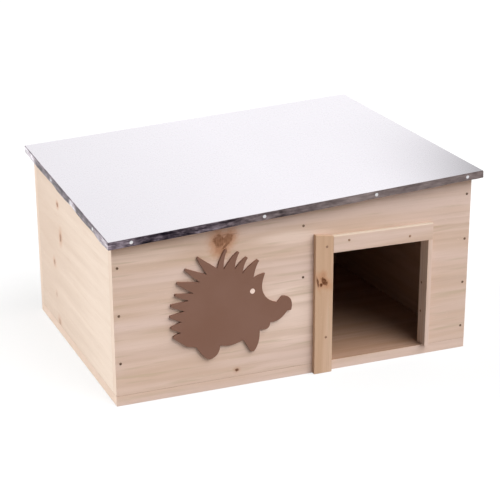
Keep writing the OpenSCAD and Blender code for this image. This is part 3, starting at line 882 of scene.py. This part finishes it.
def lip_bulge(share, length, nails, stands):
    """How far the lip's lower edge stands out at a share of its length, with dimples at the nails."""
    marks = [0.0, *nails, 1.0]
    stand = 0.0
    for k, (a, b) in enumerate(zip(marks, marks[1:])):
        if a <= share <= b and b > a:
            stand = stands[k] * math.sin(math.pi * (share - a) / (b - a)) ** 2
    dimple = sum(math.exp(-(((share - n) * length / DIMPLE_REACH) ** 2)) for n in nails)
    return stand - DIMPLE_DEPTH * dimple


def ragged_edge(place):
    """How far the lip's hand-folded lower edge rises above its full height."""
    return LIP_RAGGED * (2 + math.sin(place / LONG_RAG) + math.sin(place / SHORT_RAG + RAG_SHIFT)) / 4


def roof_cover():
    bm = bmesh.new()
    painted_light = bm.verts.layers.float.new("painted_light")
    mottling = bm.verts.layers.float.new("mottling")
    warmth = bm.verts.layers.float.new("warmth")
    half_u = ROOF_W / 2
    half_v = ROOF_D / 2
    nu, nv = TOP_STEPS
    us = [(-half_u + BEND) + (ROOF_W - 2 * BEND) * i / nu for i in range(nu + 1)]
    vs = [(-half_v + BEND) + (ROOF_D - 2 * BEND) * j / nv for j in range(nv + 1)]

    # worn carries the lips' mottling and warmth: partly stains, partly painted reflection
    def vert(u, v, w, tone, worn=(0.0, 0.0)):
        made = bm.verts.new(roof_place @ Vector((u, v, w)))
        made[painted_light] = tone
        made[mottling], made[warmth] = worn
        return made

    def top_height(u, v):
        inside = max(0.0, min(1.0, min(half_u - abs(u), half_v - abs(v)) / TOP_FLAT_RIM))
        wave = math.sin(u / TOP_WAVE_U + TOP_WAVE_SHIFT) * math.cos(v / TOP_WAVE_V)
        return ROOF_T - TOP_WAVE * inside * (0.5 + 0.5 * wave)

    # Painted reflection: the top turns darker to the left and in the right front corner
    def top_tone(u, v):
        left = max(0.0, -u / half_u)
        right = max(0.0, (u / half_u - CORNER_START) / (1 - CORNER_START))
        front = 0.5 - 0.5 * v / half_v
        return TOP_SHINE - LEFT_FALL * left - CORNER_FALL * right ** 2 * front ** 3

    top = [[vert(u, v, top_height(u, v), top_tone(u, v)) for v in vs] for u in us]
    for i in range(nu):
        for j in range(nv):
            bm.faces.new((top[i][j], top[i + 1][j], top[i + 1][j + 1], top[i][j + 1]))

    def lip(edge, places, point, length, nails, tones, crease_shade, wear_and_sheen, stands, ears):
        """Folds a lip down from one edge of the top. point gives (u, v) for a place and a distance out."""
        rows = [list(edge)]
        for k in range(1, FOLD_STEPS + 1):
            a = math.pi / 2 * k / FOLD_STEPS
            out = BEND * math.sin(a)
            drop = BEND * (1 - math.cos(a))
            row = []
            for s, start in zip(places, edge):
                # The fold's crease is painted shade
                over = tone_at(tones, s / length + 0.5)[0]
                fold = min(crease_shade, over)
                if k == 1:
                    tone = (start[painted_light] + fold) / 2
                else:
                    tone = fold + (over - fold) * (k - 2) / (FOLD_STEPS - 2)
                row.append(vert(*point(s, out), ROOF_T - drop, tone, tone_at(wear_and_sheen, s / length + 0.5)))
            rows.append(row)
        ends = [-length / 2 + EAR, *places, length / 2 - EAR] if ears else list(places)
        lower = [rows[-1]]
        if ears:
            first = vert(*point(ends[0], BEND), ROOF_T - BEND, crease_shade, tone_at(wear_and_sheen, 0.0))
            last = vert(*point(ends[-1], BEND), ROOF_T - BEND, crease_shade, tone_at(wear_and_sheen, 1.0))
            lower = [[first, *rows[-1], last]]
        for m in range(1, LIP_STEPS + 1):
            part = m / LIP_STEPS
            row = []
            for s in ends:
                share = s / length + 0.5
                out = BEND + lip_bulge(share, length, nails, stands) * part ** LIP_CURL
                over, under = tone_at(tones, share)
                drop = (LIP_DROP - ragged_edge(s)) * part
                tone = over + (under - over) * part
                row.append(vert(*point(s, out), ROOF_T - BEND - drop, tone, tone_at(wear_and_sheen, share)))
            lower.append(row)
        for rows_now in (rows, lower):
            for upper_row, lower_row in zip(rows_now, rows_now[1:]):
                for k in range(len(upper_row) - 1):
                    bm.faces.new((upper_row[k], upper_row[k + 1], lower_row[k + 1], lower_row[k]))

    back_nails = tuple(sorted(1 - n for n in LIP_NAILS_FRONT))
    right_nails = tuple(sorted(1 - n for n in LIP_NAILS_SIDE))
    inner_u = half_u - BEND
    inner_v = half_v - BEND
    rng = random.Random(STANDS_SEED)
    reaches = (LIP_STANDS, BACK_LIP_STANDS, LIP_STANDS, LIP_STANDS)
    spans = len(LIP_NAILS_FRONT) + 1
    stands = [[rng.uniform(*reach) for _ in range(spans)] for reach in reaches]
    front_edge = [r[0] for r in top]
    back_edge = [r[-1] for r in top]
    lip(
        front_edge, us, lambda s, out: (s, -inner_v - out), ROOF_W, LIP_NAILS_FRONT,
        FRONT_TONES, FRONT_CREASE_SHADE, FRONT_WEAR_AND_SHEEN, stands[0], True,
    )
    lip(
        back_edge, us, lambda s, out: (s, inner_v + out), ROOF_W, back_nails,
        PLAIN_TONES, PLAIN_CREASE_SHADE, BACK_WEAR_AND_SHEEN, stands[1], True,
    )
    lip(
        top[0], vs, lambda s, out: (-inner_u - out, s), ROOF_D, LIP_NAILS_SIDE,
        LEFT_TONES, LEFT_CREASE_SHADE, SIDE_WEAR_AND_SHEEN, stands[2], False,
    )
    lip(
        top[-1], vs, lambda s, out: (inner_u + out, s), ROOF_D, right_nails,
        PLAIN_TONES, PLAIN_CREASE_SHADE, SIDE_WEAR_AND_SHEEN, stands[3], False,
    )
    bmesh.ops.recalc_face_normals(bm, faces=bm.faces)
    up = sum((f.normal.z * f.calc_area() for f in bm.faces), 0.0)
    if up < 0:
        bmesh.ops.reverse_faces(bm, faces=bm.faces)
    piece = make_piece("roof_cover", bm, "lid", "zinc_sheet", roof_zinc, "roof_sheet")
    skin = piece.modifiers.new("sheet", "SOLIDIFY")
    skin.thickness = SHEET_T * MM
    skin.offset = -1
    skin.use_even_offset = True
    even_normals(piece)


roof_cover()

# Plaque: the solid's own outline, with its front rim eased, where faces turn by over RIM_ANGLE radians
PLAQUE_WELD = 0.01
PLAQUE_FLAT = math.radians(0.5)
RIM_ANGLE = 0.5
SAME_PLANE = 0.001


def plaque():
    bm = bmesh.new()
    bm.from_mesh(nodes["hedgehog_plaque"].data)
    bmesh.ops.remove_doubles(bm, verts=bm.verts, dist=PLAQUE_WELD * MM)
    bmesh.ops.dissolve_limit(bm, angle_limit=PLAQUE_FLAT, verts=bm.verts, edges=bm.edges)
    bmesh.ops.recalc_face_normals(bm, faces=bm.faces)
    front_y = min(v.co.y for v in bm.verts)
    front_edges = [e for e in bm.edges if all(abs(v.co.y - front_y) < SAME_PLANE * MM for v in e.verts)]
    ease_edges(bm, [e for e in front_edges if e.calc_face_angle(0) > RIM_ANGLE], PLAQUE_EDGE)
    even_normals(make_piece("plaque_panel", bm, "house", "plaque_brown", plaque_paint, "hedgehog_plaque"))


plaque()

# Nails, screws, hinges and the eye keep their solids
KEPT_SOLIDS = {
    "front_nails": wall_nail, "back_nails": wall_nail, "floor_nails": wall_nail, "trim_nails": trim_nail,
    "lip_nails": bright_nail, "eye_peg": eye_paint,
    "left_hinge_wall_leaf": hinge_zinc, "right_hinge_wall_leaf": hinge_zinc, "left_hinge_pin": hinge_zinc,
    "right_hinge_pin": hinge_zinc, "wall_leaf_screws": hinge_zinc, "left_hinge_roof_leaf": hinge_zinc,
    "right_hinge_roof_leaf": hinge_zinc, "roof_leaf_screws": hinge_zinc,
}
for name, material in KEPT_SOLIDS.items():
    nodes[name].data.materials.clear()
    nodes[name].data.materials.append(material)

# Stage, light and camera, in metres
FLOOR_HALF = 8.0
FLOOR_Z = -0.0002
FLOOR_BOUNCE = 0.4
FLOOR_SEEN = 0.3
FLOOR_LIFT = 0.7
WORLD_LEVEL = 0.2
ZENITH_LEVEL = 0.72
ZENITH_START = 0.55
KEY_TOWARDS = (0.42, -0.52, 0.74)
KEY_LEVEL = 1.05
KEY_ANGLE = 60
FILL_TOWARDS = (-0.81, 0.48, 0.33)
FILL_LEVEL = 1.02
FILL_ANGLE = 40
CAMERA_LENS = 91.05
CAMERA_SENSOR = 36
CAMERA_FAR = 50
CAMERA_PLACE = (-0.589, -1.4177, 0.5964)
CAMERA_AIM = (0.370, 0.878, -0.305)
CAMERA_ROLL = math.radians(-0.22)


def stage():
    """A floor that looks white and throws back less light than it seems to."""
    floor_mesh = bpy.data.meshes.new("studio_floor")
    half = FLOOR_HALF
    corners = [(-half, -half, 0), (half, -half, 0), (half, half, 0), (-half, half, 0)]
    floor_mesh.from_pydata(corners, [], [(0, 1, 2, 3)])
    floor = bpy.data.objects.new("studio_floor", floor_mesh)
    floor.location.z = FLOOR_Z
    bpy.context.scene.collection.objects.link(floor)
    floor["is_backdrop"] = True
    look = Look("studio_floor", Roughness=0.9, Specular_IOR_Level=0.0)
    look.set("Emission Color", (1, 1, 1))
    seen = look.ray("Camera", "Glossy", "Transmission")
    look.set("Base Color", look.mix(seen, (FLOOR_BOUNCE,) * 3, (FLOOR_SEEN,) * 3))
    look.set("Emission Strength", seen * FLOOR_LIFT)
    floor_mesh.materials.append(look.material)


def world():
    """White to the camera, graded from horizon to zenith in reflections, and dim and even as light."""
    made = bpy.data.worlds.new("studio")
    bpy.context.scene.world = made
    made.use_nodes = True
    graph = Graph(made.node_tree)
    coords = graph.add("ShaderNodeTexCoord")
    up = graph.split(coords.outputs["Generated"])[2]
    mirrored = graph.ray("Glossy", "Transmission")
    camera_ray = graph.ray("Camera")
    reflected = graph.ease(up, ZENITH_START, 1.0, 1.0, ZENITH_LEVEL)
    level = mirrored * reflected + (1 - mirrored) * WORLD_LEVEL
    background = graph.nodes["Background"]
    graph.put((1, 1, 1), background.inputs["Color"])
    graph.put(camera_ray + (1 - camera_ray) * level, background.inputs["Strength"])


def sun(name, towards, level, angle):
    """A soft lamp with no mirror image, as wide as the angle in degrees.

    level is how bright a white surface that faces it looks.
    """
    data = bpy.data.lights.new(name, "SUN")
    data.energy = level * math.pi
    data.angle = math.radians(angle)
    lamp = bpy.data.objects.new(name, data)
    lamp.visible_glossy = False
    lamp.rotation_euler = Vector(towards).to_track_quat("Z", "Y").to_euler()
    bpy.context.scene.collection.objects.link(lamp)


def camera():
    data = bpy.data.cameras.new("photo_camera")
    data.lens = CAMERA_LENS
    data.sensor_width = CAMERA_SENSOR
    data.clip_end = CAMERA_FAR
    eye = bpy.data.objects.new("photo_camera", data)
    eye.location = CAMERA_PLACE
    aim = Vector(CAMERA_AIM).to_track_quat("-Z", "Y").to_matrix()
    eye.rotation_euler = (aim @ Matrix.Rotation(CAMERA_ROLL, 3, "Z")).to_euler()
    bpy.context.scene.collection.objects.link(eye)
    bpy.context.scene.camera = eye


stage()
world()
sun("key_right", KEY_TOWARDS, KEY_LEVEL, KEY_ANGLE)
sun("fill_left", FILL_TOWARDS, FILL_LEVEL, FILL_ANGLE)
camera()
bpy.context.scene.view_settings.view_transform = "Standard"

low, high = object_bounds()
